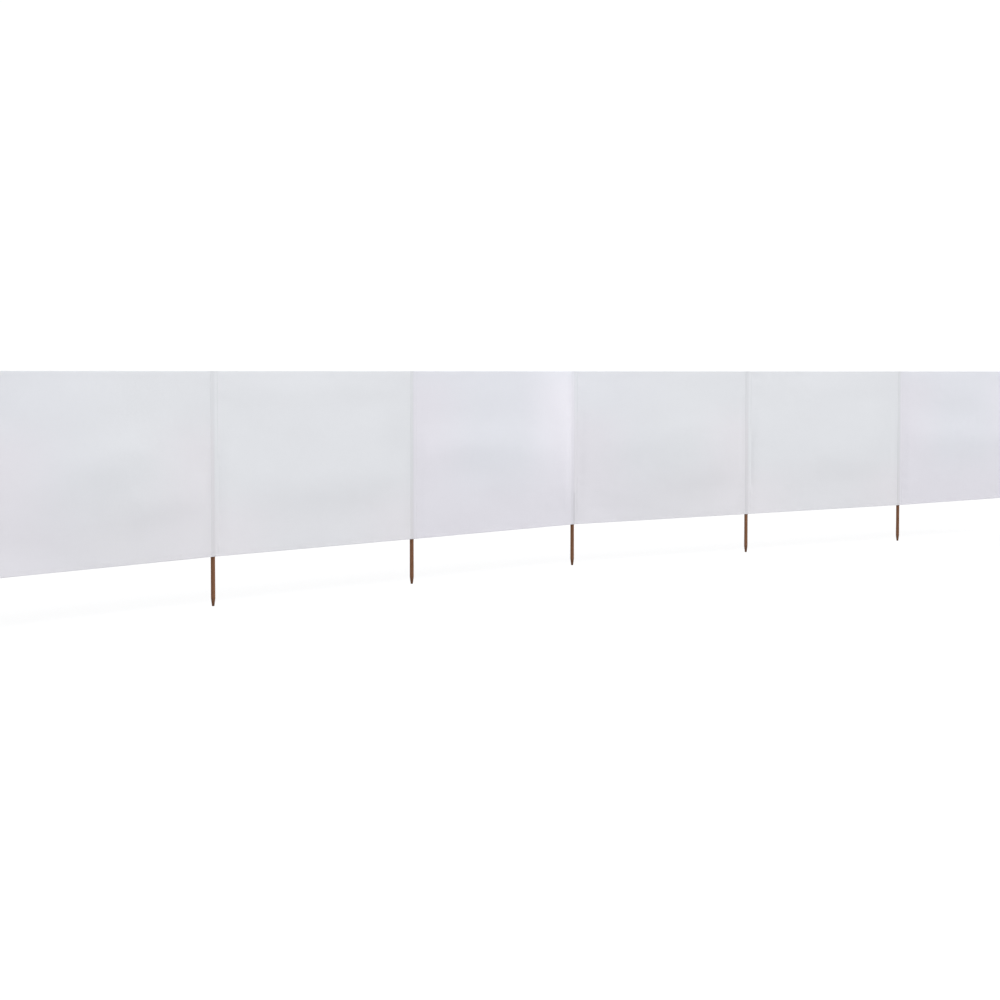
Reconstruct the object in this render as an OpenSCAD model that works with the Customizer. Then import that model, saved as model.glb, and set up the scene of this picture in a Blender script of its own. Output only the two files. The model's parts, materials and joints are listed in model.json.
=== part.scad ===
// Beach windbreak: a length of cloth on seven push-in poles, six bays long.
// Millimetres. +Z is up, +X runs along the windbreak, -Y is the smooth front.
// The origin is the blunt flat tip of the middle pole, the end pushed into the ground.

/* [Run] */
// Distance between neighbouring poles, centre to centre
bay_w = 1333; // [600:1:2000]
// Height of the cloth from bottom hem to top hem
cloth_h = 800; // [400:10:1600]
// Thickness of the cloth as a solid sheet
cloth_t = 2; // [1:0.5:5]

/* [Layout on the ground] */
// Direction of bay 1 seen from above, degrees from +X
bay_1_dir = 8; // [-20:1:20]
// Direction of bay 2 seen from above, degrees from +X
bay_2_dir = 4; // [-20:1:20]
// Direction of bay 3 seen from above, degrees from +X
bay_3_dir = 5; // [-20:1:20]
// Direction of bay 4 seen from above, degrees from +X
bay_4_dir = -7; // [-20:1:20]
// Direction of bay 5 seen from above, degrees from +X
bay_5_dir = -7; // [-20:1:20]
// Direction of bay 6 seen from above, degrees from +X
bay_6_dir = -3; // [-20:1:20]

/* [Poles] */
// Diameter of a pole
pole_d = 19; // [12:0.5:38]
// Length of pole that shows below the cloth
ground_l = 215; // [100:5:500]
// Length of the taper at the lower end
taper_l = 34; // [10:1:80]
// Diameter of the blunt end, over its rounded edge
tip_d = 11; // [6:0.5:20]
// Size of the rounded edge round the flat tip
tip_edge = 1.5; // [0.5:0.25:3]
// Size of the bevel round the upper end
top_bevel = 1.5; // [0.5:0.25:3]

/* [Pole pockets] */
// Width of a pocket between its two rows of stitching
pocket_w = 50; // [40:1:90]
// Room between the pole and the pocket wall
pole_room = 0.3; // [0.2:0.1:2]
// How far the flat sides are let into the round part behind the pole
side_in = 0.4; // [0.2:0.1:1]
// Height of the closed part of the pocket above the pole
closed_h = 12; // [6:1:30]

/* [Hems] */
// Height of the hem along the top and bottom edges
hem_h = 15; // [8:1:40]
// Extra thickness of the hem, on the back of the cloth
hem_t = 1; // [0.5:0.5:3]

/* [Hidden] */
$fn = 72;
pole_r = pole_d / 2;
pole_l = ground_l + cloth_h - closed_h;
half_pocket = pocket_w / 2;
back_y = -(pole_r + pole_room);
front_y = back_y - cloth_t;
wall_r = -front_y;
side_r = wall_r - side_in;
panel_w = bay_w - pocket_w;
middle = 4;
last = 7;
dirs = [bay_1_dir, bay_2_dir, bay_3_dir, bay_4_dir, bay_5_dir, bay_6_dir];
cloth_colour = [0.88, 0.88, 0.89];
wood_colour = [0.44, 0.32, 0.24];

// Direction of the bay that starts at pole k
function dir(k) = dirs[k - 1];

// Step from pole k to pole k + 1, seen from above
function bay_step(k) = bay_w * [cos(dir(k)), sin(dir(k))];

// Place of pole k seen from above, counted outwards from the middle pole
function pole_xy(k) = k == middle ? [0, 0]
    : k > middle ? pole_xy(k - 1) + bay_step(k - 1)
    : pole_xy(k + 1) - bay_step(k);

// A point turned about the pole's middle, seen from above
function turned(p, a) = [p[0] * cos(a) - p[1] * sin(a), p[0] * sin(a) + p[1] * cos(a)];

// Corners of the right side of a pocket, for a bay along +X: where the cloth ends in
// front and behind, and where the strip runs into the round wall
meet_a = atan2(back_y, half_pocket) + acos(side_r / norm([half_pocket, back_y]));
right_side = [[half_pocket, front_y], [half_pocket, back_y], side_r * [cos(meet_a), sin(meet_a)]];

// The same corners in order for a bay after the pole, and mirrored for one before it
function side_after(a) = [for (p = right_side) turned(p, a)];
function side_before(a) = [for (i = [2, 1, 0]) turned([-right_side[i][0], right_side[i][1]], a)];

// Corner where the fronts of two bays meet in front of a pole
function front_corner(a, b) = turned([0, front_y / cos((b - a) / 2)], (a + b) / 2);

module at_pole(k) {
    translate([pole_xy(k)[0], pole_xy(k)[1], 0]) children();
}

// Round pole with a blunt tapered end
module pole(k) {
    at_pole(k) rotate_extrude() polygon([
        [0, 0],
        [tip_d / 2 - tip_edge, 0],
        [tip_d / 2, tip_edge],
        [pole_r, taper_l],
        [pole_r, pole_l - top_bevel],
        [pole_r - top_bevel, pole_l],
        [0, pole_l]
    ]);
}

// Outline of a pocket between two bays: flat in front, with the strip behind
module middle_outline(a, b) {
    polygon(concat(side_before(a), [front_corner(a, b)], side_after(b)));
    intersection() {
        circle(wall_r);
        translate([-wall_r, 0]) square([2 * wall_r, wall_r]);
    }
}

// Outline of a pocket at an end pole, where the cloth goes once round the pole
module end_outline(side) {
    polygon(concat([[0, 0]], side));
    circle(wall_r);
}

// Pocket of cloth round pole k, closed at the top and open below
module pocket(k) {
    at_pole(k) difference() {
        translate([0, 0, ground_l]) linear_extrude(cloth_h)
            if (k == 1) end_outline(concat([turned([0, -side_r], dir(k))], side_after(dir(k))));
            else if (k == last)
                end_outline(concat(side_before(dir(k - 1)), [turned([0, -side_r], dir(k - 1))]));
            else middle_outline(dir(k - 1), dir(k));
        cylinder(r = pole_r + pole_room, h = pole_l);
    }
}

// Cloth between the pockets of poles k and k + 1, with its two hems
module panel(k) {
    at_pole(k) rotate([0, 0, dir(k)]) translate([half_pocket, front_y, ground_l]) {
        cube([panel_w, cloth_t, cloth_h]);
        for (z = [0, cloth_h - hem_h])
            translate([0, 0, z]) cube([panel_w, cloth_t + hem_t, hem_h]);
    }
}

module pole_1() { color(wood_colour) pole(1); }
module pole_2() { color(wood_colour) pole(2); }
module pole_3() { color(wood_colour) pole(3); }
module pole_4() { color(wood_colour) pole(4); }
module pole_5() { color(wood_colour) pole(5); }
module pole_6() { color(wood_colour) pole(6); }
module pole_7() { color(wood_colour) pole(7); }

module pocket_1() { color(cloth_colour) pocket(1); }
module pocket_2() { color(cloth_colour) pocket(2); }
module pocket_3() { color(cloth_colour) pocket(3); }
module pocket_4() { color(cloth_colour) pocket(4); }
module pocket_5() { color(cloth_colour) pocket(5); }
module pocket_6() { color(cloth_colour) pocket(6); }
module pocket_7() { color(cloth_colour) pocket(7); }

module panel_1() { color(cloth_colour) panel(1); }
module panel_2() { color(cloth_colour) panel(2); }
module panel_3() { color(cloth_colour) panel(3); }
module panel_4() { color(cloth_colour) panel(4); }
module panel_5() { color(cloth_colour) panel(5); }
module panel_6() { color(cloth_colour) panel(6); }

pole_1();
pole_2();
pole_3();
pole_4();
pole_5();
pole_6();
pole_7();
pocket_1();
pocket_2();
pocket_3();
pocket_4();
pocket_5();
pocket_6();
pocket_7();
panel_1();
panel_2();
panel_3();
panel_4();
panel_5();
panel_6();
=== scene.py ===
# %% [markdown]
# # Beach windbreak
#
# A beach windbreak is a long strip of cloth on a row of round poles. Each pole is
# held in a pocket, a strip of cloth sewn on the back with one row of stitching down
# each side. The poles are pushed into the sand, and the cloth is pulled tight between
# them, so its edges are straight and only its middle has a little slack.
#
# The poles come from the CAD model and keep their shape. The cloth in the CAD model is
# only a plain slab, so the panels, the pockets and the stitching are made here. Each
# takes its place from the boxes of the CAD nodes, so it fits with no adjusting.

# %% Load the frame
import json
from collections import namedtuple
from functools import partial
from math import acos, atan2, ceil, cos, exp, pi, radians, sin, sqrt, tau
import bmesh
import bpy
from mathutils import Matrix, Vector, noise

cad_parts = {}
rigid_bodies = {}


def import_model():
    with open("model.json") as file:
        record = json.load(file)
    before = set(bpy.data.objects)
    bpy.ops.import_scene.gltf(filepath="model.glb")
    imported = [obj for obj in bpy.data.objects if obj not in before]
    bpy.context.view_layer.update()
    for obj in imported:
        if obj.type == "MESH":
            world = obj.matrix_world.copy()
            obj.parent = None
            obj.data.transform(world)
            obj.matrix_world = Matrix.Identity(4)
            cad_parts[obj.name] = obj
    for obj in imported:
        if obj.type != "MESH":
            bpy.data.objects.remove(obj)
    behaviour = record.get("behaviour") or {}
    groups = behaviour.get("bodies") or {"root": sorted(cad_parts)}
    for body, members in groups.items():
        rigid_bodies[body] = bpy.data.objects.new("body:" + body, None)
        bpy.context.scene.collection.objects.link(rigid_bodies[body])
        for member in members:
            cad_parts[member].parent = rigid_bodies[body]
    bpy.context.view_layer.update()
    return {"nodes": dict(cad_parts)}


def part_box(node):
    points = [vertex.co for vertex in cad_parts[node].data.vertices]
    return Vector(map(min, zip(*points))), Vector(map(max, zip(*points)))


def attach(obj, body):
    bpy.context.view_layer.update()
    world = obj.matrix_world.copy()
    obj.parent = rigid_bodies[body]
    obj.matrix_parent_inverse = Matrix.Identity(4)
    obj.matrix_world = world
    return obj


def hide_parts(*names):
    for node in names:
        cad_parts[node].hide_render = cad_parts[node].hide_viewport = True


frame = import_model()
UP = Vector((0, 0, 1))
print("CAD nodes:", len(frame["nodes"]))

# %% [markdown]
# ## The line of poles
#
# The centre of each pole's box is the pole's place on the ground. From one pole to the
# next is a bay, and the bay's direction and its front side are two unit vectors. All
# the cloth is placed with these: so far along the bay, so far out to the front, so high.
# A pocket reaches 25 mm to each side of its pole, and a panel fills the bay between two
# pockets.

# %% Places of the poles and directions of the bays
POLES, BAYS = range(1, 8), range(1, 7)
FIRST_POLE, LAST_POLE = POLES[0], POLES[-1]
HALF_POCKET = 0.025


def pole_foot(number):
    """The middle of a pole's box, on the ground."""
    low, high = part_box(f"pole_{number}")
    return Vector(((low[0] + high[0]) / 2, (low[1] + high[1]) / 2, 0))


foot = {number: pole_foot(number) for number in POLES}
along = {bay: (foot[bay + 1] - foot[bay]).normalized() for bay in BAYS}
front = {bay: Vector((along[bay].y, -along[bay].x, 0)) for bay in BAYS}
cloth_low, cloth_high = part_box("panel_1")[0][2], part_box("panel_1")[1][2]
tall = cloth_high - cloth_low
pole_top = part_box("pole_4")[1][2]
panel_width = (foot[2] - foot[1]).length - 2 * HALF_POCKET
print("panel", round(panel_width, 4), "m wide, from", round(cloth_low, 3), "to", round(cloth_high, 3))

# %% [markdown]
# ## Camera
#
# The camera is set before anything is made, so every piece can be judged from it. It
# stands one metre up, level with the top of the cloth, which is why the top edge of the
# cloth runs straight across the view while the bottom edge climbs. A long lens keeps
# the far bays nearly as large as the near ones. The camera looks a little down, so no
# lens shift is needed. Its turn is measured from +Y towards +X, in degrees.

# %% Camera
EYE = (-9.206, -7.745, 1.009)
LENS_MM = 82.81
LOOK_DOWN, LOOK_RIGHT = 3.175, 48.125

camera_data = bpy.data.cameras.new("view")
camera_data.sensor_width = 36
camera_data.lens = LENS_MM
camera_data.clip_end = 400
camera = bpy.data.objects.new("view", camera_data)
camera.location = EYE
camera.rotation_euler = (radians(90 - LOOK_DOWN), 0, radians(-LOOK_RIGHT))
bpy.context.scene.collection.objects.link(camera)
bpy.context.scene.camera = camera
print("lens", round(camera_data.lens, 2), "mm")

# %% [markdown]
# ## Shader maths
#
# A finish is a small sum: colour times a mask, plus some grain. Written with nodes alone
# such a sum is long, so one class stands for a socket, and adding or multiplying two of
# them adds the Math node. A Math node would turn a colour grey, so colours are scaled
# and added by Vector Math nodes instead. Any other node is added by `node`, which takes
# the node's type, its settings, and what goes into its sockets.

# %% Sockets that can be added and multiplied
class Wire:
    """A socket in one material. Sums and products of wires become Math nodes."""

    def __init__(self, tree, socket=None):
        self.tree, self.socket = tree, socket

    def node(self, kind, settings=None, inputs=None, output=0):
        """Adds a node: its settings first, then values or wires into its sockets."""
        made = self.tree.nodes.new(kind)
        for name, value in (settings or {}).items():
            if name == "stops":
                ramp = made.color_ramp
                while len(ramp.elements) < len(value):
                    ramp.elements.new(1)
                for stop, (place, shade) in zip(ramp.elements, value):
                    stop.position, stop.color = place, (*shade, 1)
            else:
                setattr(made, name, value)
        for name, value in (inputs or {}).items():
            if isinstance(value, Wire):
                self.tree.links.new(value.socket, made.inputs[name])
            else:
                made.inputs[name].default_value = value
        return Wire(self.tree, made.outputs[output]) if made.outputs else None

    def sum(self, operation, *values):
        """A Math node on numbers and wires."""
        return self.node("ShaderNodeMath", {"operation": operation}, dict(enumerate(values)))

    def __add__(self, other):
        return self.sum("ADD", self, other)

    def __radd__(self, other):
        return self.sum("ADD", other, self)

    def __sub__(self, other):
        return self.sum("SUBTRACT", self, other)

    def __rsub__(self, other):
        return self.sum("SUBTRACT", other, self)

    def __mul__(self, other):
        return self.sum("MULTIPLY", self, other)

    def __rmul__(self, other):
        return self.sum("MULTIPLY", other, self)

    def soft_step(self, low, high):
        """0 below low, 1 above high, and smooth between."""
        return self.node("ShaderNodeMapRange", {"interpolation_type": "SMOOTHSTEP"},
                         {0: self, 1: low, 2: high})

    def blend(self, first, second):
        """A colour that goes from first to second as this wire goes from 0 to 1.

        A Mix node's colours go into its sockets 6 and 7 and come out at output 2.
        """
        return self.node("ShaderNodeMix", {"data_type": "RGBA"}, {0: self, 6: first, 7: second}, 2)

    def scaled(self, colour):
        """A colour times this wire."""
        return self.node("ShaderNodeVectorMath", {"operation": "SCALE"}, {0: colour, "Scale": self})

    def added(self, colour):
        """This colour with another one added."""
        return self.node("ShaderNodeVectorMath", {"operation": "ADD"}, {0: self, 1: colour})

    def stretch(self, x, y, z):
        """The same place, measured in shorter or longer steps along each axis."""
        return self.node("ShaderNodeVectorMath", {"operation": "MULTIPLY"}, {0: self, 1: (x, y, z)})

    def grain(self, detail=3.0, roughness=0.5):
        """Soft noise from 0 to 1 at this place."""
        return self.node("ShaderNodeTexNoise", {},
                         {"Vector": self, "Scale": 1.0, "Detail": detail, "Roughness": roughness})

    def axis(self, number):
        """One of the three numbers of a place."""
        return self.node("ShaderNodeSeparateXYZ", {}, {0: self}, number)


def new_finish(name):
    """An empty material and a wire that nodes can be added from."""
    material = bpy.data.materials.new(name)
    material.use_nodes = True
    material.node_tree.nodes.clear()
    return material, Wire(material.node_tree)


def surface(start, colour, roughness, height, bump, **constants):
    """Ends a material in one Principled shader with a bump, whose depth is in metres."""
    normal = start.node("ShaderNodeBump", {}, {"Height": height, "Distance": bump})
    inputs = {"Base Color": colour, "Roughness": roughness, "Normal": normal, **constants}
    shader = start.node("ShaderNodeBsdfPrincipled", {}, inputs)
    start.node("ShaderNodeOutputMaterial", {}, {"Surface": shader})


print("shader helpers ready")

# %% [markdown]
# ## Cloth finish
#
# The cloth is a matt off-white plain weave. Three things make it cloth and not paper.
# The threads cross over and under each other. Some threads are a little thicker, which
# leaves faint lines both ways. And the whole cloth is a shade lighter or darker from
# place to place.
#
# The pattern has to follow the cloth round the poles and over its folds, so it is read
# from the piece's own UV map, which holds the flat cloth's width and height in metres.
# Where a pole stands behind the thin cloth, its shadow is painted into the colour as a
# darker band, deeper towards the bottom. That is the mask `behind`, made from how far a
# point is from the middle of the painted shade. On the front layer it lies 7 mm to the
# left of the pole's middle. A hem, or the strip's edge behind the cloth, makes two layers.
# They let less light through, so the cloth is a shade whiter there: the mask `doubled`.
#
# How pale the cloth is, and how cool or warm its white is, differs from place to place in
# a way that no pattern could say. Three attributes that are stored with each piece say it
# instead. The paleness holds painted light and painted shade as well as the cloth's own
# tone. A little less green and more blue makes a cooler white, and a little more red a
# warmer one.

# %% Cloth material
THREAD_PITCH = 0.0011
HEM = 0.015
EDGE_BLUR, POLE_BLUR = 0.0005, 0.009
TWO_LAYERS, PALENESS_GAIN = 0.012, 0.1
POLE_SHADE_LOW, POLE_SHADE_TOP = 0.082, 0.048
CLOTH_TONES = ("bleached", "cool", "warm")
CLOTH_WHITE = (0.7459, 0.7565, 0.7815)
COOLER = (0.0, -0.0022, 0.0185)
WARMER = (0.0222, 0.0, 0.0050)


def outside(place, low, high):
    """1 below low and above high, and 0 between them."""
    below = 1 - place.soft_step(low - EDGE_BLUR, low + EDGE_BLUR)
    return below + place.soft_step(high - EDGE_BLUR, high + EDGE_BLUR)


def cloth_finish(name, pole_reach=None, pole_at=0.0):
    """pole_reach is how far the painted shade of a pole behind the cloth reaches to each side of
    pole_at, in metres.
    """
    material, start = new_finish(name)
    flat = start.node("ShaderNodeUVMap", {"uv_map": "flat"})
    across, up = flat.axis(0), flat.axis(1)
    weft, warp = (start.sum("SINE", way * (tau / THREAD_PITCH)) for way in (across, up))
    weave = weft * warp
    slub = flat.stretch(9, 900, 1).grain(2) + flat.stretch(900, 9, 1).grain(2)
    cloud = flat.stretch(2.3, 3.1, 1).grain(4)
    mottle = flat.stretch(38, 38, 1).grain(3)
    shade = 0.93 + cloud * 0.05 + mottle * 0.016 + slub * 0.022 + weave * 0.012
    doubled = outside(up, HEM, tall - HEM)
    if not pole_reach:
        doubled = doubled + outside(across, 0.0, panel_width)
    paler, cool, warm = (start.node("ShaderNodeAttribute", {"attribute_name": tone}, output="Fac")
                       for tone in CLOTH_TONES)
    # the paleness attribute holds the cloth's own tone with painted light and painted shade in it
    shade = shade * (1 + doubled * TWO_LAYERS + paler * PALENESS_GAIN)
    # painted shadow of the pole behind the thin cloth, deeper towards the bottom
    if pole_reach:
        distance = start.sum("ABSOLUTE", across - pole_at)
        behind = 1 - distance.soft_step(pole_reach - POLE_BLUR, pole_reach + POLE_BLUR)
        darker = POLE_SHADE_LOW - up * ((POLE_SHADE_LOW - POLE_SHADE_TOP) / tall)
        shade = shade * (1 - behind * darker)
    white = cool.scaled(COOLER).added(warm.scaled(WARMER)).added(CLOTH_WHITE)
    surface(start, shade.scaled(white), roughness=0.84 + mottle * 0.1,
            height=weave * 0.5 + slub * 0.6, bump=0.00025,
            **{"Specular IOR Level": 0.25, "Sheen Weight": 0.12, "Sheen Roughness": 0.5})
    return material


PLAIN_CLOTH = cloth_finish("cloth_plain")
CLOTH_OVER_POLE = cloth_finish("cloth_over_pole", pole_reach=0.012, pole_at=-0.007)
CLOTH_BEHIND_POLE = cloth_finish("cloth_behind_pole", pole_reach=0.012)
CLOTH_ROUND_POLE = cloth_finish("cloth_round_pole", pole_reach=0.0225)
print("cloth materials made")

# %% [markdown]
# ## Sewing thread
#
# The thread is polyester, a shade whiter and shinier than the cloth. Its twist is a
# fine bump, much smaller than a stitch.

# %% Thread material
THREAD_WHITE = (0.78, 0.78, 0.79)


def thread_finish():
    material, start = new_finish("sewing_thread")
    place = start.node("ShaderNodeTexCoord", output="Object")
    twist = place.stretch(2600, 2600, 2600).grain(1)
    shade = 0.9 + twist * 0.1
    surface(start, shade.scaled(THREAD_WHITE), roughness=0.5 + twist * 0.15,
            height=twist, bump=0.00008)
    return material


SEWING_THREAD = thread_finish()
print("thread material made")

# %% [markdown]
# ## Pole finish
#
# The poles are turned softwood with a brown stain. The stain soaks deeper into the soft
# wood between the growth lines, so the grain shows as long thin streaks, and it gathers
# in the end grain, so the tapered end is darker. A noise that is stretched a long way
# up the pole gives the streaks, and the object's own coordinates keep them straight.

# %% Pole material
STAIN = [(0.28, (0.138, 0.061, 0.032)), (0.5, (0.211, 0.1, 0.054)), (0.72, (0.289, 0.148, 0.082))]
DEEP_STAIN = (0.05, 0.024, 0.014, 1)
END_LOW, END_HIGH = 0.004, 0.05


def pole_finish():
    material, start = new_finish("stained_wood")
    place = start.node("ShaderNodeTexCoord", output="Object")
    streak = place.stretch(420, 420, 7).grain(5, 0.6)
    growth = place.stretch(130, 130, 1.6).grain(3)
    pore = place.stretch(1500, 1500, 45).grain(2).soft_step(0.56, 0.7)
    tone = start.node("ShaderNodeValToRGB", {"stops": STAIN}, {0: streak * 0.65 + growth * 0.5 - 0.08})
    end = 1 - place.axis(2).soft_step(END_LOW, END_HIGH)
    deep = pore * 0.35 + end * 0.4
    surface(start, deep.blend(tone, DEEP_STAIN), roughness=0.74 + streak * 0.16,
            height=streak * 0.7 - pore * 0.5, bump=0.0004, **{"Specular IOR Level": 0.1})
    return material


STAINED_WOOD = pole_finish()
for number in POLES:
    pole_mesh = frame["nodes"][f"pole_{number}"].data
    pole_mesh.materials.clear()
    pole_mesh.materials.append(STAINED_WOOD)
print("stained", len(POLES), "poles")

# %% [markdown]
# ## Cloth as a grid
#
# Every piece of cloth starts as one flat grid. Its UV map is written while it is still
# flat, so it holds the cut of the cloth in metres, and only then is each vertex taken to
# its place. `columns` and `rows` list where the grid lines lie across and up the cut, so
# they can be close together at a fold and far apart on plain cloth. A Solidify modifier
# gives the sheet its thickness, half to each side.

# %% Make a sheet from a flat grid
CLOTH_THICK = 0.0005


def finished_mesh(name, bm):
    mesh = bpy.data.meshes.new(name)
    bm.to_mesh(mesh)
    bm.free()
    return mesh


def add_piece(name, mesh, material):
    """Puts a finished mesh in the scene as a piece of cloth or thread."""
    mesh.materials.append(material)
    piece = bpy.data.objects.new(name, mesh)
    bpy.context.scene.collection.objects.link(piece)
    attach(piece, "root")
    return piece


def sheet_from_grid(name, columns, rows, place, tone, material):
    """place gives a vertex its position, and tone how bleached, cool and warm it is."""
    bm = bmesh.new()
    bmesh.ops.create_grid(bm, x_segments=len(columns) - 1, y_segments=len(rows) - 1, size=0.5)
    uv = bm.loops.layers.uv.new("flat")
    tone_layers = [bm.verts.layers.float.new(word) for word in CLOTH_TONES]
    cut = {}
    for vertex in bm.verts:
        column = round((vertex.co.x + 0.5) * (len(columns) - 1))
        row = round((vertex.co.y + 0.5) * (len(rows) - 1))
        cut[vertex] = (columns[column], rows[row])
    for face in bm.faces:
        face.smooth = True
        for loop in face.loops:
            loop[uv].uv = cut[loop.vert]
    for vertex in bm.verts:
        vertex.co = place(*cut[vertex])
        for layer, amount in zip(tone_layers, tone(*cut[vertex])):
            vertex[layer] = amount
    piece = add_piece(name, finished_mesh(name, bm), material)
    solid = piece.modifiers.new("cloth thickness", "SOLIDIFY")
    solid.thickness, solid.offset = CLOTH_THICK, 0
    return piece


def steps(first, last, size):
    """Evenly spaced values from first to last, about size apart."""
    count = max(1, ceil(abs(last - first) / size - 1e-6))
    return [first + (last - first) * i / count for i in range(count + 1)]


def ease(value, low, high):
    """0 at low, 1 at high, smooth between."""
    t = min(1.0, max(0.0, (value - low) / (high - low)))
    return t * t * (3 - 2 * t)


def waves(*place):
    """Smooth noise between -1 and 1, read at a place that is given as three numbers."""
    return noise.noise(Vector(place))


print("grid helpers ready")

# %% [markdown]
# ## Where the cloth lies
#
# The front cloth lies against the front of the poles, and the pocket strips go round
# behind them. Everything is measured from the line through the middles of the poles.
# The row of stitching at each side of a pole pulls the front cloth back a little, so a
# shallow crease runs beside every pole. One function gives that dip for the panels and
# for the pockets, so the two meet with no step.
#
# Beside poles 2 and 5 the cloth is also pinched into a small upright fold, steeper on
# the pole's side, and low on pole 4 a thin fold stands out to the front. Each of them
# fades out at its top and at its lower end.

# %% Crease and pinched folds beside a pole
CLOTH_OUT = 0.0105
LAYER = 0.0007
SEAM = 0.021
SEAM_DIP, SEAM_REACH = 0.0012, 0.0035
FADE_TOP, FADE_LOW = 0.08, 0.04

#  pole: from and to (share of the way down), middle (metres to the right of the pole),
#        reach to the left and to the right, depth
PINCHES = {
    2: (0.45, 0.92, 0.0300, 0.0040, 0.0130, 0.0032),
    5: (0.45, 0.82, 0.0300, 0.0040, 0.0130, 0.0044),
    4: (0.77, 0.98, 0.0030, 0.0028, 0.0026, -0.0042),
}


def seam_dip(x):
    """How far the stitching pulls the front cloth back, x metres to the side of a pole."""
    return SEAM_DIP * exp(-((abs(x) - SEAM) / SEAM_REACH) ** 2)


def pinch(pole, x, z):
    """Depth of a small upright fold beside a pole. Minus stands out to the front."""
    if pole not in PINCHES:
        return 0.0
    start, end, middle, reach_left, reach_right, depth = PINCHES[pole]
    down, beyond = (cloth_high - z) / tall, x - middle
    fade = ease(down, start - FADE_TOP, start + FADE_TOP)
    fade *= 1 - ease(down, end - FADE_LOW, end + FADE_LOW)
    return depth * fade * exp(-(beyond / (reach_right if beyond > 0 else reach_left)) ** 2)


print("folds beside poles", sorted(PINCHES))

# %% [markdown]
# ## Turned hems
#
# The top and bottom edges of the cloth are turned over to the back and sewn. A flat cut
# is therefore two hems taller than the finished cloth. The rows of the grid follow the
# cut: from the raw edge of the lower hem, round the fold, up the face, round the upper
# fold, and down to the raw edge of the upper hem.

# %% Rows of the grid, and where they lie
FOLD_ROUND = LAYER / 2
HALF_TURN = pi * FOLD_ROUND
LOW_ZONE, TOP_ZONE = 0.032, 0.024
LOW_STEP = 0.004
HEM_FADE = 0.006


def turned_rows(coarse, top):
    """Grid lines up the cut: 0 is the lower edge of the face, minus is the lower hem."""
    bend = [HALF_TURN * part for part in (0.25, 0.5, 0.75, 1.0)]
    over = bend + [HALF_TURN + HEM * part for part in (0.35, 0.7, 1.0)]
    face = steps(0, LOW_ZONE, LOW_STEP)
    face += steps(LOW_ZONE, tall - TOP_ZONE, coarse)[1:]
    face += steps(tall - TOP_ZONE, tall, top)[1:]
    return [-part for part in reversed(over)] + face + [tall + part for part in over]


def turned_place(length):
    """Height, and depth behind the face, for a length measured up the cut."""
    over = max(-length, length - tall)
    if over <= 0:
        up, behind = length, 0.0
    else:
        angle = min(pi, over / FOLD_ROUND)
        up = FOLD_ROUND * sin(angle) - max(0.0, over - HALF_TURN)
        up, behind = tall + up, FOLD_ROUND * (1 - cos(angle))
        up = tall - up if length < 0 else up
    return cloth_low + FOLD_ROUND + up * (tall - 2 * FOLD_ROUND) / tall, behind


def hem_zone(z):
    """1 where the cloth is doubled by a hem, 0 elsewhere."""
    return 1 - ease(min(z - cloth_low, cloth_high - z), HEM, HEM + HEM_FADE)


panel_rows = turned_rows(coarse=0.0085, top=0.004)
cut_tall = panel_rows[-1] - panel_rows[0]
print("cut", round(cut_tall, 4), "m tall for", round(tall, 3), "m of cloth")

# %% [markdown]
# ## Stitching
#
# Each stitch is a real little piece: a lens of thread 3.4 mm long, half sunk in the
# cloth. There are hundreds in a row, so each has only fifteen faces. One is made from a
# small sphere, and copies of it are turned and placed along a path.

# %% Rows of stitches
PITCH, STITCH_LENGTH, THREAD_WIDE = 0.0045, 0.0034, 0.0007
PROUD = CLOTH_THICK / 2 + 0.0001


def one_stitch():
    bm = bmesh.new()
    bmesh.ops.create_uvsphere(bm, u_segments=5, v_segments=3, radius=0.5)
    bmesh.ops.scale(bm, vec=(THREAD_WIDE, THREAD_WIDE, STITCH_LENGTH), verts=bm.verts)
    for face in bm.faces:
        face.smooth = True
    return finished_mesh("one_stitch", bm)


STITCH = one_stitch()


def sew(name, paths):
    """Sews along each path. A path is its length and a function from length to place."""
    bm = bmesh.new()
    for length, place in paths:
        count = int(length / PITCH)
        gap = length / count
        for i in range(count):
            middle = gap * (i + 0.5)
            start, end = place(middle - STITCH_LENGTH / 2), place(middle + STITCH_LENGTH / 2)
            turn = (end - start).to_track_quat("Z", "Y").to_matrix().to_4x4()
            stitch = STITCH.copy()
            stitch.transform(Matrix.Translation((start + end) / 2) @ turn)
            bm.from_mesh(stitch)
            bpy.data.meshes.remove(stitch)
    return add_piece(name, finished_mesh(name, bm), SEWING_THREAD)


print("one stitch has", len(STITCH.polygons), "faces")

# %% [markdown]
# ## Folds in the panels
#
# The hems are pulled tight, so the top and bottom edges stay straight. Between them the
# cloth has a few millimetres of slack, which shows as one broad billow and three or four
# long soft folds. Each fold is a ridge or a valley along a line: highest or deepest on
# the line, and fading away from it on both sides and past both ends.
#
# A fold is written as where it starts, where it ends, how wide it is and how high. Minus
# is a valley. Across goes from 0 at the left pocket to 1 at the right one, and down from
# 0 to 1. The billow is written as how far it stands out and how far down its crest is.

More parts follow.
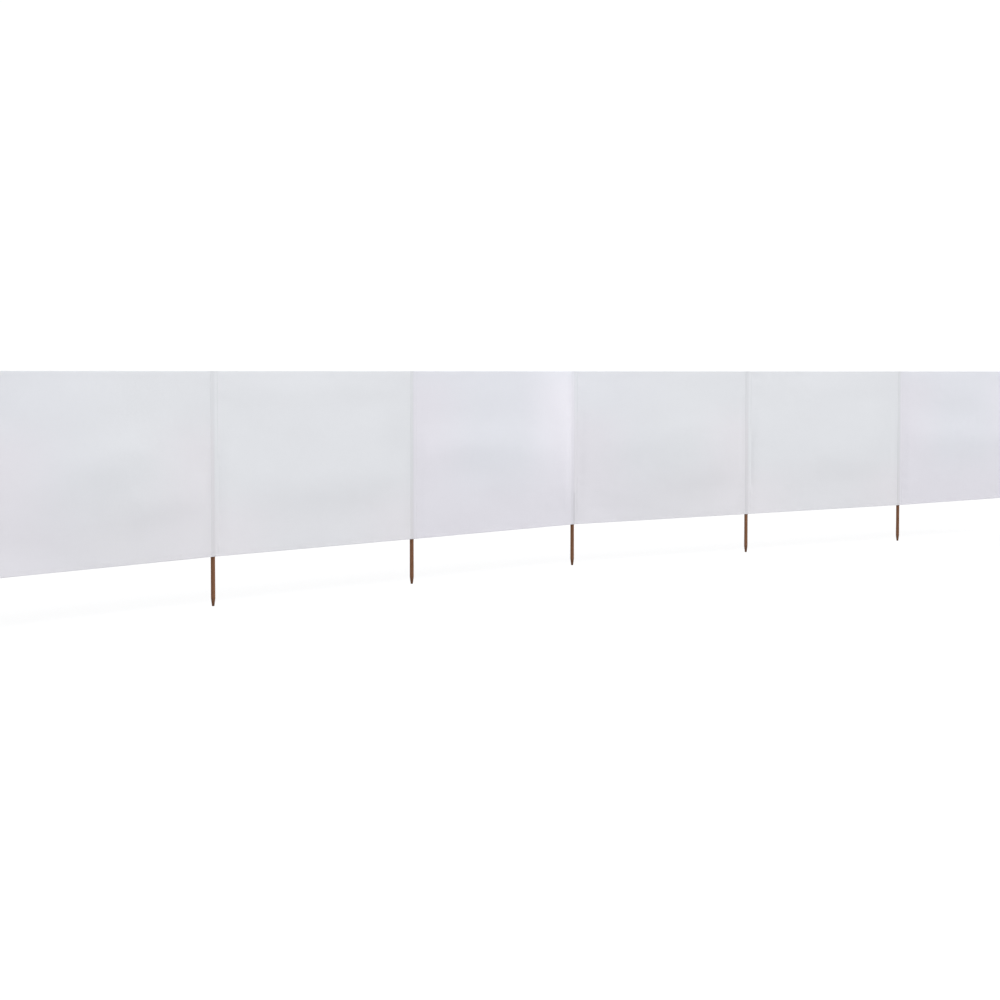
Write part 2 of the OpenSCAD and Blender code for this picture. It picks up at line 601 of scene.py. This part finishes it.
# %% Folds and billow
#        start         end           width  height, in metres
FOLDS = {
    1: [((0.30, 0.52), (0.78, 0.36), 0.085, 0.0037), ((0.45, 0.77), (0.95, 0.66), 0.090, 0.0033),
        ((0.02, 0.86), (0.34, 0.97), 0.070, -0.0045), ((0.55, 0.88), (1.00, 0.84), 0.090, -0.0030)],
    2: [((0.15, 0.68), (1.00, 0.57), 0.100, 0.0030), ((0.10, 0.84), (0.80, 0.83), 0.095, -0.0030),
        ((0.10, 0.09), (0.90, 0.09), 0.060, 0.0034)],
    3: [((0.02, 0.46), (0.58, 0.46), 0.085, 0.0037), ((0.12, 0.31), (0.62, 0.32), 0.130, -0.0050),
        ((0.92, 0.10), (0.95, 0.85), 0.080, 0.0100)],
    4: [((0.26, 0.50), (0.74, 0.37), 0.085, 0.0037), ((0.50, 0.78), (0.94, 0.66), 0.090, 0.0032),
        ((0.04, 0.88), (0.30, 0.95), 0.070, -0.0040), ((0.55, 0.88), (1.00, 0.84), 0.090, -0.0030)],
    5: [((0.20, 0.69), (1.00, 0.58), 0.100, 0.0028), ((0.10, 0.84), (0.80, 0.83), 0.095, -0.0032),
        ((0.10, 0.09), (0.90, 0.09), 0.060, 0.0034)],
    6: [((0.04, 0.47), (0.55, 0.45), 0.090, 0.0018), ((0.12, 0.33), (0.62, 0.34), 0.130, -0.0046),
        ((0.92, 0.12), (0.94, 0.80), 0.080, 0.0060)],
}
BILLOW = {1: 0.018, 2: 0.011, 3: 0.016, 4: 0.018, 5: 0.011, 6: 0.015}
CREST = {1: 0.50, 2: 0.60, 3: 0.50, 4: 0.52, 5: 0.62, 6: 0.52}
CREST_ROUND = 0.25
LEAST_BILLOW, LEAST_FOLD, FOLD_END = 0.08, 0.2, 0.4


def ridge(x, y, start, end, width, height):
    """Height of one fold at a point, both in metres across and down the panel."""
    size = Vector((panel_width, tall))
    a, b, p = Vector(start) * size, Vector(end) * size, Vector((x, y))
    t = (p - a).dot(b - a) / (b - a).length_squared
    nearest = a + (b - a) * min(1.0, max(0.0, t))
    fade = FOLD_END + (1 - FOLD_END) * sin(pi * min(1.0, max(0.0, t))) ** 0.7
    return height * fade * exp(-((p - nearest).length / width) ** 2)


def tent(down, crest):
    """0 at the two hems and 1 at the crest, with straight slopes and a soft top."""
    far = down / crest - 1 if down < crest else (down - crest) / (1 - crest)
    whole = sqrt(1 + CREST_ROUND ** 2)
    return (whole - sqrt(far ** 2 + CREST_ROUND ** 2)) / (whole - CREST_ROUND)


print("folds in the bays:", [len(FOLDS[bay]) for bay in BAYS])

# %% [markdown]
# ## Slack
#
# The billow and the folds are only the large part. A soft unevenness runs over the whole
# panel, and finer waves lie on it. The stitching puckers the cloth beside the poles, and
# the sewn hems gather it at the top and bottom. All of them fade out before the
# stitching, because there the cloth is held.

# %% All the slack of a panel
SOFT_HIGH, FINE_HIGH, PUCKER_HIGH, GATHER_HIGH = 0.0035, 0.0006, 0.0016, 0.0009
PUCKER_REACH, GATHER_REACH = 0.05, 0.03
FREE_FROM, PUCKER_FROM = 0.07, 0.012


def small_waves(bay, x, z, side, edge, free):
    """Unevenness of the open cloth, and the puckers and gathers along its edges."""
    soft = waves(x * 3.1, z * 4.7, bay * 7.3) * SOFT_HIGH * free
    fine = waves(x * 14, z * 19, bay * 3.7) * FINE_HIGH
    right_half, upper_half = 9 * (x > panel_width / 2), 9 * ((cloth_high - z) / tall < 0.5)
    pucker = waves(bay * 5.1 + right_half, z * 34, side * 6)
    pucker *= PUCKER_HIGH * exp(-side / PUCKER_REACH)
    gather = waves(x * 42, bay * 4.4 + upper_half, edge * 12)
    gather *= GATHER_HIGH * exp(-edge / GATHER_REACH)
    return soft, fine, pucker + gather


def slack(bay, x, z):
    """How far the panel stands out to the front at this place, in metres."""
    across, down = x / panel_width, (cloth_high - z) / tall
    across, down = min(1.0, max(0.0, across)), min(1.0, max(0.0, down))
    side, edge = min(x, panel_width - x), max(0.0, min(z - cloth_low, cloth_high - z))
    free = sin(pi * down) ** 0.75
    tented = LEAST_BILLOW + (1 - LEAST_BILLOW) * tent(down, CREST[bay])
    billow = BILLOW[bay] * sin(pi * across) ** 0.5 * tented
    folds = sum(ridge(x, down * tall, *fold) for fold in FOLDS[bay])
    folds *= LEAST_FOLD + (1 - LEAST_FOLD) * min(1.0, free * 1.3)
    soft, fine, puckered = small_waves(bay, x, z, side, edge, free)
    open_cloth = (billow + folds + soft + fine) * ease(side, 0, FREE_FROM)
    return open_cloth + puckered * ease(side, 0, PUCKER_FROM)


middle_slack = slack(1, panel_width / 2, cloth_low + tall / 2)
print("slack in the middle of panel 1:", round(1000 * middle_slack, 1), "mm")

# %% [markdown]
# ## Shade of the cloth
#
# Cloth that has been outdoors isn't one even white. The bays differ a little. Painted light
# makes a glow towards the right end of bays 3 and 6, fading downwards, and at the upper
# left of bay 4. It also makes the top of each bay lighter and its bottom darker. Painted
# shade darkens the cloth beside the poles, more towards the bottom. Bays 3 and 6 are a
# cooler white. Low down and beside the poles the white is warmer.
#
# Most of the differences are one to three parts in a hundred. They are worked out for
# each vertex and stored with the piece, where the cloth material reads them.

# %% How pale, cool and warm the cloth is, with painted light and shade
BAY_TONE = {1: -0.07, 2: 0.05, 3: -0.20, 4: -0.07, 5: 0.04, 6: -0.32}
BAY_LEAN = {1: 0.0, 2: -0.25, 3: 0.0, 4: 0.0, 5: -0.28, 6: 0.0}
# painted light and shade: the top of each bay lighter and the bottom darker, as light from above falls
PAINTED_TOP_LIGHT = 0.12
# painted light: a glow towards the right end of bays 3 and 6, and past pole 4 into bay 4
PAINTED_GLOW = {1: 0.0, 2: 0.0, 3: 1.0, 4: 0.0, 5: 0.0, 6: 0.3}
SPOT_BEYOND = {1: 0.0, 2: 0.0, 3: 0.0, 4: 0.45, 5: 0.0, 6: 0.0}
# painted shade beside the poles, darker towards the bottom
PAINTED_POLE_SHADE, POLE_SHADE_REACH = 0.28, 0.05
#  from and to, as shares of the way across a bay or down it
SPOT_ACROSS, SPOT_DOWN = (0.60, 1.02), (0.35, 0.95)
BEYOND_ACROSS, BEYOND_DOWN = (0.0, 0.25), (0.0, 0.45)
POLE_SHADE_DOWN, COOL_ACROSS = (0.2, 0.8), (0.1, 0.7)
WARM_ACROSS, WARM_DOWN, WARM_FADE = (0.05, 0.4), (0.5, 0.9), 0.3
#  bay: how cool at its left and at its right end
COOL = {1: (0.5, 0.0), 2: (0.0, 0.0), 3: (1.0, 1.0), 4: (0.5, 0.0), 5: (0.0, 0.0), 6: (1.0, 1.0)}
#  bay: how far down its warm sides begin, and how warm it is at the bottom
WARM_FROM = {1: 0.15, 2: 0.6, 3: -0.1, 4: 0.15, 5: 0.6, 6: -0.1}
WARM_LOW = {1: 0.7, 2: 0.35, 3: 1.0, 4: 0.7, 5: 0.4, 6: 1.0}


def paleness_at(bay, across, down):
    """How pale the cloth is here, painted light and shade included: 0 is the usual shade, 1 the whitest,
    minus is darker.
    """
    spot = ease(across, *SPOT_ACROSS) * (1 - ease(down, *SPOT_DOWN))
    beyond = (1 - ease(across, *BEYOND_ACROSS)) * (1 - ease(down, *BEYOND_DOWN))
    # painted light: the glow
    paler = PAINTED_GLOW[bay] * spot + SPOT_BEYOND[bay] * beyond
    # painted shade beside the poles, darker towards the bottom
    by_pole = exp(-(min(across, 1 - across) * panel_width / POLE_SHADE_REACH) ** 2)
    pole_shade = PAINTED_POLE_SHADE * by_pole * ease(down, *POLE_SHADE_DOWN)
    # its last term is painted light: lighter at the top, darker at the bottom
    tone = BAY_TONE[bay] + BAY_LEAN[bay] * (across - 0.4) + PAINTED_TOP_LIGHT * (0.5 - down)
    return tone + paler - pole_shade


def coolness(bay, across):
    """How cool the white is: 0 is the usual white, 1 the coolest."""
    left, right = COOL[bay]
    return left + (right - left) * ease(across, *COOL_ACROSS)


def warmth(bay, across, down):
    """How warm the white is: 0 is the usual white, 1 the warmest."""
    by_pole = 1 - ease(min(across, 1 - across), *WARM_ACROSS)
    side = by_pole * ease(down, WARM_FROM[bay], WARM_FROM[bay] + WARM_FADE)
    low = WARM_LOW[bay] * ease(down, *WARM_DOWN)
    return side + low - side * low


def cloth_tone(bay, across, down):
    """The three tones of a bay's cloth, in the order of CLOTH_TONES."""
    return paleness_at(bay, across, down), coolness(bay, across), warmth(bay, across, down)


print("tones in the middle of bay 3:", [round(amount, 2) for amount in cloth_tone(3, 0.5, 0.5)])

# %% [markdown]
# ## Panels
#
# A panel is one sheet from stitching to stitching, with its two turned hems. It reaches
# 4 mm into each pocket, so the joint between two sheets lies under the stitches, at the
# bottom of the crease, where the real cloth has a line too. The columns of the grid are
# closer together at both ends, where the crease is. Each hem is sewn through near its
# raw edge, so its stitches show on the front and behind.

# %% Panels and their stitching
HEM_STITCH = 0.012
INTO_POCKET = HALF_POCKET - SEAM
PANEL_STEP = 0.0092
cut_wide = panel_width + 2 * INTO_POCKET


def panel_point(bay, x, z, back=0.0):
    """A place on a panel, x metres from its left pocket and back metres behind its face."""
    origin = foot[bay] + along[bay] * (HALF_POCKET + x)
    dip = seam_dip(HALF_POCKET + min(x, panel_width - x))
    dip += pinch(bay, HALF_POCKET + x, z) + pinch(bay + 1, x - panel_width - HALF_POCKET, z)
    out = CLOTH_OUT - dip + slack(bay, x, z) - back
    return origin + front[bay] * out + UP * z


def panel_place(bay, x, length):
    return panel_point(bay, x, *turned_place(length))


def panel_tone(bay, x, length):
    return cloth_tone(bay, x / panel_width, 1 - length / tall)


def hem_point(bay, z, back, length):
    """A place on a row of hem stitching, which starts at the left edge of the cut."""
    return panel_point(bay, length - INTO_POCKET, z, back)


def hem_paths(bay):
    """Both sides of both hems, as lengths and functions for sewing."""
    return [(cut_wide, partial(hem_point, bay, z, back))
            for z in (cloth_low + HEM_STITCH, cloth_high - HEM_STITCH)
            for back in (-PROUD, LAYER + PROUD)]


left_columns = [-INTO_POCKET, -0.0030, -0.0015, 0.0, 0.0015, 0.0035, 0.0065, 0.0110]
right_columns = [panel_width - x for x in reversed(left_columns)]
columns = left_columns + steps(left_columns[-1], right_columns[0], PANEL_STEP)[1:-1] + right_columns
panels, panel_stitching = {}, {}
for bay in BAYS:
    panels[bay] = sheet_from_grid(f"panel_cloth_{bay}", columns, panel_rows,
                                  partial(panel_place, bay), partial(panel_tone, bay), PLAIN_CLOTH)
    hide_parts(f"panel_{bay}")
    panel_stitching[bay] = sew(f"panel_stitching_{bay}", hem_paths(bay))
panel_faces = len(panels[1].data.polygons)
print("panel cut", round(cut_wide, 3), "by", round(cut_tall, 3), "m,", panel_faces, "faces")
print("stitches on a panel:", len(panel_stitching[1].data.polygons) // len(STITCH.polygons))

# %% [markdown]
# ## Pockets
#
# Seen from above, a pocket is two layers of cloth that meet at the stitching, 21 mm to
# each side of the pole. The front layer runs nearly flat across the pole. The strip
# leaves the stitching in a straight line, meets the pole where that line just touches
# it, and follows the pole round behind. At the two end poles the cloth itself goes once
# round the pole and back to its own stitching.
#
# Each outline is a list of points: so far to the side, so far to the front. The grid's
# columns are laid out on the length along it, so the weave stays the right size.

# %% Outlines of the pocket layers, seen from above
STRIP_RADIUS = 0.0106
ARC_STEP, OUTLINE_STEP = 0.16, 0.004
FRONT_POINTS = (0.0045, 0.009, 0.013, 0.0165, 0.0185, 0.02, SEAM)
SEAM_POINTS = (HALF_POCKET, 0.0235, 0.022, SEAM)


def refined(outline, size):
    """The same outline with no two points further apart than size."""
    points = [outline[0]]
    for (x0, y0), (x1, y1) in zip(outline, outline[1:]):
        parts = max(1, ceil(sqrt((x1 - x0) ** 2 + (y1 - y0) ** 2) / size))
        points += [(x0 + (x1 - x0) * i / parts, y0 + (y1 - y0) * i / parts) for i in range(1, parts + 1)]
    return points


def arc(radius, start, end):
    """Points on a round of this radius, from one angle to another."""
    return [(radius * cos(angle), radius * sin(angle)) for angle in steps(start, end, ARC_STEP)]


def front_outline():
    sides = [-x for x in reversed(FRONT_POINTS)] + [0.0, *FRONT_POINTS]
    return [(x, CLOTH_OUT - seam_dip(x)) for x in sides]


def seam_flat(side):
    """The strip beside the pole, from the pocket's edge in to the stitching."""
    return [(side * x, CLOTH_OUT - seam_dip(x) - LAYER) for x in SEAM_POINTS]


def leaving_angle(radius):
    """Angle at which a straight line from the stitching just touches a round of this radius."""
    x, y = seam_flat(1)[-1]
    return atan2(y, x) - acos(radius / sqrt(x * x + y * y))


def strip_outline():
    touch = leaving_angle(STRIP_RADIUS)
    round_pole = arc(STRIP_RADIUS, -pi - touch, touch)
    return refined(seam_flat(-1) + round_pole + seam_flat(1)[::-1], OUTLINE_STEP)


def end_outline(side):
    """The cloth of an end panel, once round its pole. side is where the panel is."""
    face = [(x, y) for x, y in front_outline() if x >= 0][::-1]
    round_pole = arc(CLOTH_OUT, pi / 2, tau + leaving_angle(CLOTH_OUT))[1:]
    return [(side * x, y) for x, y in refined(face + round_pole + seam_flat(1)[::-1], OUTLINE_STEP)]


def lengths_along(outline):
    """Distance along the cloth at each point of the outline, 0 at its middle."""
    lengths = [0.0]
    for (x0, y0), (x1, y1) in zip(outline, outline[1:]):
        lengths.append(lengths[-1] + sqrt((x1 - x0) ** 2 + (y1 - y0) ** 2))
    return [length - lengths[-1] / 2 for length in lengths]


for name, outline in (("front", front_outline()), ("strip", strip_outline()), ("end", end_outline(1))):
    print(name, "layer:", len(outline), "points,", round(2000 * lengths_along(outline)[-1], 1), "mm")

# %% [markdown]
# A layer is known by its pole, by a word that says whether it is the front, the strip or
# the wrap of an end pole, and by its outline. At a pole two bays meet at a small angle,
# so the outline bends there. The left half follows the bay before the pole and the right
# half the bay after it, and the turn between them is spread over the width of the pole.

# %% A layer's outline at its pole
Layer = namedtuple("Layer", "pole word outline lengths")
TURN_REACH = 0.012
WRAP_BLEND = 0.002


def at_length(layer, length, inward):
    """The point at a length along the outline, moved inward by a small distance."""
    outline, lengths, i = layer.outline, layer.lengths, 0
    while i < len(lengths) - 2 and length > lengths[i + 1]:
        i += 1
    (x0, y0), (x1, y1) = outline[i], outline[i + 1]
    reach = lengths[i + 1] - lengths[i]
    part = (length - lengths[i]) / reach
    left = (-(y1 - y0) / reach, (x1 - x0) / reach)
    return x0 + (x1 - x0) * part + left[0] * inward, y0 + (y1 - y0) * part + left[1] * inward


def turned(pole, x):
    """Direction along the cloth and to its front, x metres to the side of a pole."""
    before = along[max(FIRST_POLE, pole - 1)]
    after = along[min(LAST_POLE - 1, pole)]
    turn = ease(x, -TURN_REACH, TURN_REACH)
    facing = (before * (1 - turn) + after * turn).normalized()
    return (after if x >= 0 else before), Vector((facing.y, -facing.x, 0))


def behind_part(layer, length):
    """0 on the front layer, 1 on the layer behind the pole."""
    if layer.word == "wrap":
        return ease(length, -WRAP_BLEND, WRAP_BLEND)
    return 1.0 if layer.word == "strip" else 0.0


print("bays on both sides of pole 4:", round(along[3].angle(along[4]) * 360 / tau, 1), "degrees apart")

# %% [markdown]
# Above the pole's end the two layers close. From 3 mm below the end the strip draws
# forward along a quarter of an ellipse, and the last 6 mm lie flat on the front layer.
# Where both layers have a hem, four thicknesses lie on each other, so the strip stands
# two layers further back there. Between the pole and the stitching the cloth lies on
# nothing, so it is a little loose and uneven.

# %% A point on a pocket layer
CLOSE_FROM, CLOSE_TO = pole_top - 0.003, pole_top + 0.006
FOLD_SIDE = 0.014
LOOSE_FRONT, LOOSE_BACK, RIPPLE = 0.0004, 0.0022, 0.0002
OFF_POLE, LOOSE_TO = (0.001, 0.005), 0.016
RIPPLE_FROM, RIPPLE_HELD = 0.006, 0.004
BESIDE_POLE, AT_SEAM = 0.012, 0.017


def open_at(z):
    """1 where the pocket is open round the pole, falling to 0 where it is sewn shut."""
    return sqrt(1 - min(1.0, max(0.0, (z - CLOSE_FROM) / (CLOSE_TO - CLOSE_FROM))) ** 2)


def loose_cloth(layer, x, out, z, back):
    """How far the cloth between the pole and the stitching stands out or hangs back."""
    away, side = sqrt(x * x + out * out) - CLOTH_OUT, abs(x)
    loose = ease(away, *OFF_POLE) * (1 - ease(side, LOOSE_TO, SEAM))
    wave = 0.35 + waves(layer.pole * 3.3 + 7 * (x > 0) + 11 * (back > 0.5), z * 11, side * 30)
    return (LOOSE_FRONT * (1 - back) - LOOSE_BACK * back) * wave * loose


def pocket_point(layer, length, up, proud=0.0):
    """proud is how far outside the middle of the cloth the point is."""
    z, inside = turned_place(up)
    inside -= proud
    turn_in = -1 if layer.word == "front" or layer.pole == LAST_POLE else 1
    x, out = at_length(layer, length, inside * turn_in)
    back, side = behind_part(layer, length), abs(x)
    ripple = waves(layer.pole * 3.3 + length * 60, z * 55, 2.0) * RIPPLE
    out += loose_cloth(layer, x, out, z, back)
    out += ripple * ease(side, RIPPLE_FROM, BESIDE_POLE) * ease(SEAM - side, 0, RIPPLE_HELD)
    out -= back * 2 * LAYER * hem_zone(z) * ease(side, BESIDE_POLE, SEAM)
    out -= pinch(layer.pole, x, z) * (1 - back + back * ease(side, AT_SEAM, SEAM))
    if layer.word != "front":
        flat_out = CLOTH_OUT - back * 3 * LAYER - inside * (1 - 2 * back)
        shut = 1 - open_at(z)
        out += (flat_out - out) * shut
        if layer.word == "wrap":
            end = SEAM if length < 0 else HALF_POCKET
            fold = -FOLD_SIDE + (end + FOLD_SIDE) * abs(length) / layer.lengths[-1]
            x += ((fold if layer.pole == FIRST_POLE else -fold) - x) * shut
    direction, facing = turned(layer.pole, x)
    return foot[layer.pole] + direction * x + facing * out + UP * z


print("pocket is open below", round(CLOSE_FROM, 4), "m and shut above", round(CLOSE_TO, 4), "m")

# %% [markdown]
# The shade of a pocket runs from that of the bay before the pole to that of the bay
# after it. A tight upright crease in a pocket's front can also be painted with a thin
# dark line of shade.

# %% Shade of a pocket layer
#  pole: from (share of the way down), middle (metres to the right), half width, how dark
CREASE_SHADES = {4: (0.79, 0.003, 0.005, 1.0)}
CREASE_START = 0.01
MIX_FROM, MIX_TO = -0.008, 0.010


def crease(pole, x, down):
    """How dark the painted shade in a tight upright crease in the front of the pocket is."""
    if pole not in CREASE_SHADES:
        return 0.0
    start, middle, reach, dark = CREASE_SHADES[pole]
    started = ease(down, start - CREASE_START, start + CREASE_START)
    return dark * started * exp(-((x - middle) / reach) ** 2)


def share_of_next(pole, x):
    """0 where a pocket looks like the bay before its pole, 1 where like the bay after it."""
    if pole in (FIRST_POLE, LAST_POLE):
        return 1.0 if pole == FIRST_POLE else 0.0
    return ease(x, MIX_FROM, MIX_TO)


def pocket_tone(layer, length, up):
    x, down = at_length(layer, length, 0)[0], 1 - up / tall
    before = cloth_tone(max(FIRST_POLE, layer.pole - 1), 1.0, down)
    after = cloth_tone(min(LAST_POLE - 1, layer.pole), 0.0, down)
    share = share_of_next(layer.pole, x)
    bleached, cool, warm = (a + (b - a) * share for a, b in zip(before, after))
    # painted shade in a tight crease
    dark = crease(layer.pole, x, down) if layer.word == "front" else 0.0
    return bleached - dark, cool, warm


print("dark creases on poles", sorted(CREASE_SHADES))

# %% [markdown]
# Two rows of stitching run up each pocket, and the two hem rows run across it. A last
# short row closes the top. Each is sewn through, so it shows on the front and behind.

# %% Pockets and their stitching
CLOSING_STITCH = 0.004
SEAM_END = 0.002
pocket_rows = turned_rows(coarse=0.0095, top=0.0015)


def seam_point(layer, length, up):
    return pocket_point(layer, length, up + SEAM_END, PROUD)


def cross_point(layer, up, length):
    return pocket_point(layer, length - layer.lengths[-1], up, PROUD)


def pocket_paths(layer):
    """Rows up the pocket at the seams, then rows across it."""
    paths = [(tall - 2 * SEAM_END, partial(seam_point, layer, length))
             for (x, y), length in zip(layer.outline, layer.lengths) if abs(abs(x) - SEAM) < 1e-6]
    for up in (HEM_STITCH, tall - HEM_STITCH, tall - CLOSING_STITCH):
        paths.append((layer.lengths[-1] * 2, partial(cross_point, layer, up)))
    return paths


def layers_at(pole):
    """The outlines and finishes of the cloth at a pole."""
    if pole in (FIRST_POLE, LAST_POLE):
        return [("wrap", end_outline(1 if pole == FIRST_POLE else -1), CLOTH_ROUND_POLE)]
    return [("front", front_outline(), CLOTH_OVER_POLE), ("strip", strip_outline(), CLOTH_BEHIND_POLE)]


pockets, pocket_stitching, pocket_width = {}, {}, {}
for pole in POLES:
    paths = []
    for word, outline, finish in layers_at(pole):
        layer = Layer(pole, word, outline, lengths_along(outline))
        place, tone = partial(pocket_point, layer), partial(pocket_tone, layer)
        pockets[pole, word] = sheet_from_grid(f"pocket_{word}_{pole}", layer.lengths, pocket_rows,
                                              place, tone, finish)
        pocket_width[pole, word] = 2 * layer.lengths[-1]
        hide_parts(f"pocket_{pole}")
        paths += pocket_paths(layer)
    pocket_stitching[pole] = sew(f"pocket_stitching_{pole}", paths)
print("made", len(pockets), "layers of pocket cloth")
print("stitches on pocket 4:", len(pocket_stitching[4].data.polygons) // len(STITCH.polygons))

# %% [markdown]
# ## Floor
#
# The windbreak stands on a plain white floor under soft studio light. The floor has to
# look as white as the backdrop and still take the shadow, so it is plain white for three
# quarters and a lit white surface for the rest. Only the camera, gloss and glass see it
# so. Light on its way to the cloth finds a darker floor, because a white floor would
# light the cloth from below and take the shape out of its folds.

# %% Floor
FLOOR_PLAIN = 0.76
FLOOR_LIT, FLOOR_DARK = (0.8, 0.8, 0.8, 1), (0.39, 0.39, 0.39, 1)
WHITE = (1, 1, 1, 1)
FLOOR_HALF = 90


def white_rays(start):
    """1 for a ray that comes to the camera straight, by gloss or through glass, else 0."""
    camera_ray, gloss, glass = (start.node("ShaderNodeLightPath", output=name) for name in (
        "Is Camera Ray", "Is Glossy Ray", "Is Transmission Ray"))
    return start.sum("MAXIMUM", start.sum("MAXIMUM", camera_ray, gloss), glass)


def floor_finish():
    material, start = new_finish("studio_floor")
    lit = start.node("ShaderNodeBsdfDiffuse", {}, {"Color": FLOOR_LIT})
    dark = start.node("ShaderNodeBsdfDiffuse", {}, {"Color": FLOOR_DARK})
    plain = start.node("ShaderNodeEmission", {}, {"Color": WHITE, "Strength": 1.0})
    seen = start.node("ShaderNodeMixShader", {}, {0: FLOOR_PLAIN, 1: lit, 2: plain})
    mixed = start.node("ShaderNodeMixShader", {}, {0: white_rays(start), 1: dark, 2: seen})
    start.node("ShaderNodeOutputMaterial", {}, {"Surface": mixed})
    return material


bm = bmesh.new()
bmesh.ops.create_grid(bm, x_segments=1, y_segments=1, size=FLOOR_HALF)
floor = bpy.data.objects.new("studio_floor", finished_mesh("studio_floor", bm))
floor.data.materials.append(floor_finish())
bpy.context.scene.collection.objects.link(floor)
print("floor", 2 * FLOOR_HALF, "m wide")

# %% [markdown]
# ## Backdrop and lamps
#
# The backdrop is the world. The camera sees it plain white, a trace over 1 so that no
# speck of it comes out grey. The light that it sends to the cloth is dimmer, and a
# little stronger from above than from the side. Two very wide lamps, so wide that they
# leave no hard shadow, light the front of the cloth and, more softly, its back.

# %% Backdrop and lamps
BACKDROP = 1.03
SKY_LOW, SKY_RISE = 0.56, 0.14
SKY_COLOUR = (0.97, 0.98, 1.0, 1)

world = bpy.data.worlds.new("studio")
bpy.context.scene.world = world
world.use_nodes = True
world.node_tree.nodes.clear()
sky = Wire(world.node_tree)
upward = sky.node("ShaderNodeTexCoord", output="Generated").axis(2)
level = SKY_LOW + upward.soft_step(-0.2, 1.0) * SKY_RISE
ambient = sky.node("ShaderNodeBackground", {}, {"Color": SKY_COLOUR, "Strength": level})
backdrop = sky.node("ShaderNodeBackground", {}, {"Color": WHITE, "Strength": BACKDROP})
either = sky.node("ShaderNodeMixShader", {}, {0: white_rays(sky), 1: ambient, 2: backdrop})
sky.node("ShaderNodeOutputWorld", {}, {"Surface": either})


def soft_sun(name, turn, height, width, strength):
    """A wide, even lamp: turn from the front towards +X, height and width in degrees."""
    data = bpy.data.lights.new(name, "SUN")
    data.energy, data.angle = strength, radians(width)
    lamp = bpy.data.objects.new(name, data)
    lamp.rotation_euler = (radians(90 - height), 0, radians(turn))
    bpy.context.scene.collection.objects.link(lamp)


soft_sun("key", turn=14, height=52, width=60, strength=2.21)
soft_sun("back", turn=190, height=50, width=80, strength=1.5)
bpy.context.scene.view_settings.view_transform = "Standard"
print("lamps:", sum(item.type == "LIGHT" for item in bpy.data.objects))

# %% [markdown]
# ## Finish
#
# Cloth hardly stretches, so the made sheet has to have nearly the same area as its cut.
# Below, the stitching of each pocket layer but the strip is picked out, and the number of
# sheets is printed.

for (pole, word), piece in pockets.items():
    sewn = [] if word == "strip" else [pocket_stitching[pole]]
print("declared", len(panels) + len(pockets), "sheets")
